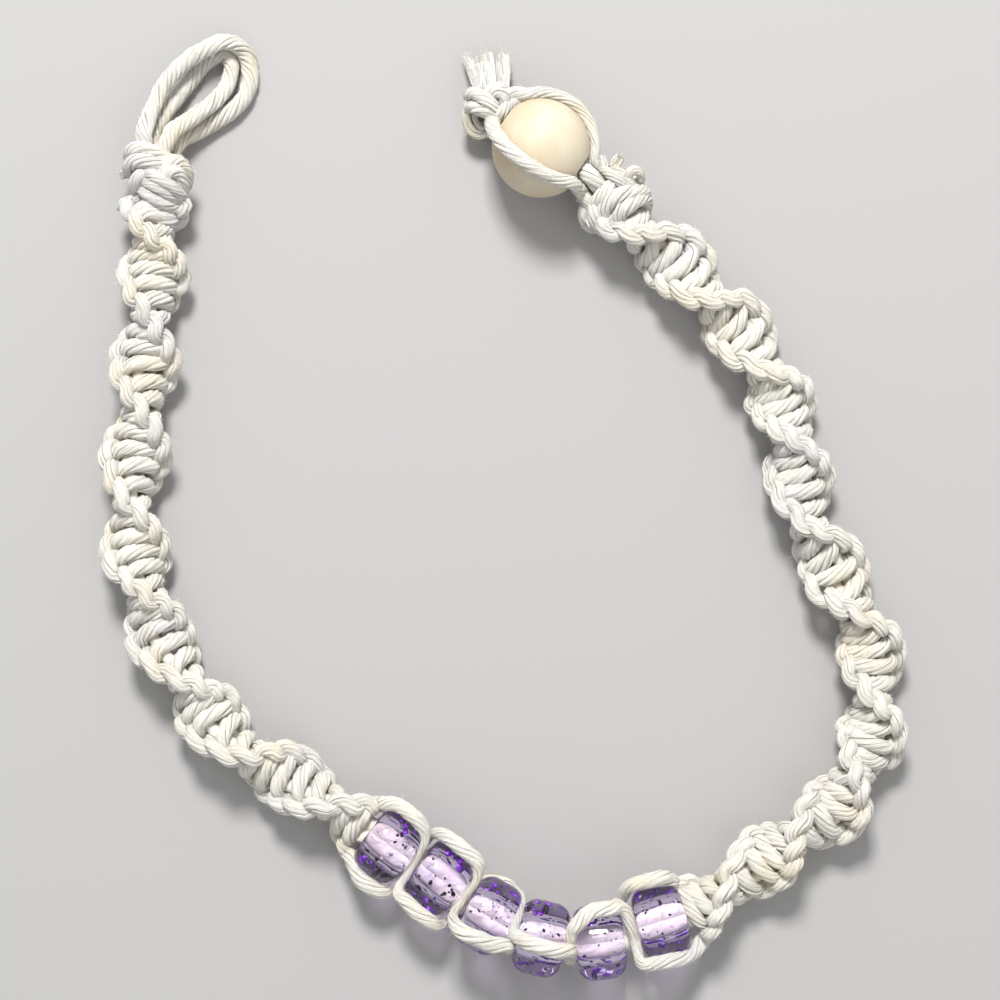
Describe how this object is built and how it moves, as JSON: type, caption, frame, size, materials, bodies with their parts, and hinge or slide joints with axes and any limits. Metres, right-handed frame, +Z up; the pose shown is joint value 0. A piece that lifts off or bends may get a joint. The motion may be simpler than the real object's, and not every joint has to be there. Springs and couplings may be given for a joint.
{
  "type": "macrame anklet",
  "caption": "Open macrame anklet: half-knot spiral cord with clear barrel beads, a round wooden toggle bead at one end and a button loop at the other.",
  "frame": {"origin": "middle of the underside, on the surface that the anklet lies on", "axes": "+Z up, +Y towards the open end with the button loop and the wooden bead, +X from the button loop's side to the wooden bead's side"},
  "size_m": [0.0972, 0.1145, 0.0129],
  "materials": {
    "cotton_cord": "matte, twisted cotton yarn with loose fibres",
    "clear_plastic": "clear lilac with glitter inside",
    "natural_wood": "satin, unvarnished"
  },
  "bodies": {
    "root": {"button_loop_outer": "cotton_cord", "button_loop_inner": "cotton_cord", "loop_knot": "cotton_cord", "left_spiral": "cotton_cord", "pony_bead_1": "clear_plastic", "pony_bead_2": "clear_plastic", "pony_bead_3": "clear_plastic", "pony_bead_4": "clear_plastic", "pony_bead_5": "clear_plastic", "pony_bead_6": "clear_plastic", "bead_cores": "cotton_cord", "side_cord_a": "cotton_cord", "side_cord_b": "cotton_cord", "right_spiral": "cotton_cord", "wooden_bead": "natural_wood", "wooden_core": "cotton_cord", "wooden_side_a": "cotton_cord", "wooden_side_b": "cotton_cord", "end_knot": "cotton_cord", "tail": "cotton_cord"}
  },
  "joints": []
}
